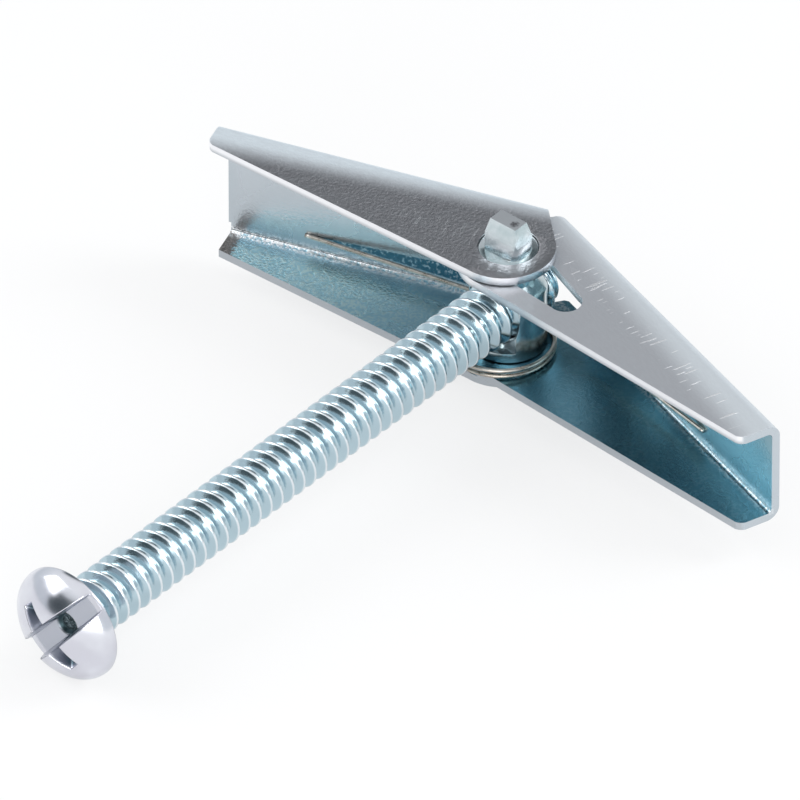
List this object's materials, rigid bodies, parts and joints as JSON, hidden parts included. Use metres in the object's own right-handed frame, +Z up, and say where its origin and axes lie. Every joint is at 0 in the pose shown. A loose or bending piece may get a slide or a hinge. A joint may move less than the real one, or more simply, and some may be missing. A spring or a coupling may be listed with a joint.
{
  "type": "spring toggle bolt",
  "caption": "Round-head machine screw with a trunnion nut carrying folded steel wings that a torsion spring holds open behind a hollow wall; the wings fold along the screw to pass the hole.",
  "frame": {"origin": "centre of the bottom of the bounding box, on the surface the part lies on", "axes": "+Z up, screw head towards -Y, outer wing towards -X, inner wing towards +X; the part lies on its nut's lower tang and the head's rim, so the screw leans a few degrees"},
  "size_m": [0.0538, 0.0588, 0.0151],
  "materials": {
    "bright_zinc": "bright zinc plate",
    "zinc": "blue-white zinc plate, lightly scratched",
    "spring_wire": "drawn wire"
  },
  "bodies": {
    "screw": {"bolt": "bright_zinc"},
    "nut": {"toggle_nut": "zinc", "torsion_spring": "spring_wire"},
    "outer": {"outer_wing": "zinc"},
    "inner": {"inner_wing": "zinc"}
  },
  "joints": [
    {"name": "nut_run", "type": "slide", "parent": "screw", "child": "nut", "axis": [0, -0.9982, -0.0602], "range_m": [0, 0.02]},
    {"name": "outer_fold", "type": "hinge", "parent": "nut", "child": "outer", "pos_m": [-0.00112, 0.0228, 0.00753], "axis": [0, -0.0602, 0.9982], "range_deg": [0, 72], "stiffness_Nm_per_rad": 0.004, "springref_deg": -45.84, "deforming": ["torsion_spring"]},
    {"name": "inner_fold", "type": "hinge", "parent": "nut", "child": "inner", "pos_m": [-0.00112, 0.0228, 0.00753], "axis": [0, 0.0602, -0.9982], "range_deg": [0, 72], "stiffness_Nm_per_rad": 0.004, "springref_deg": -45.84, "deforming": ["torsion_spring"]}
  ]
}
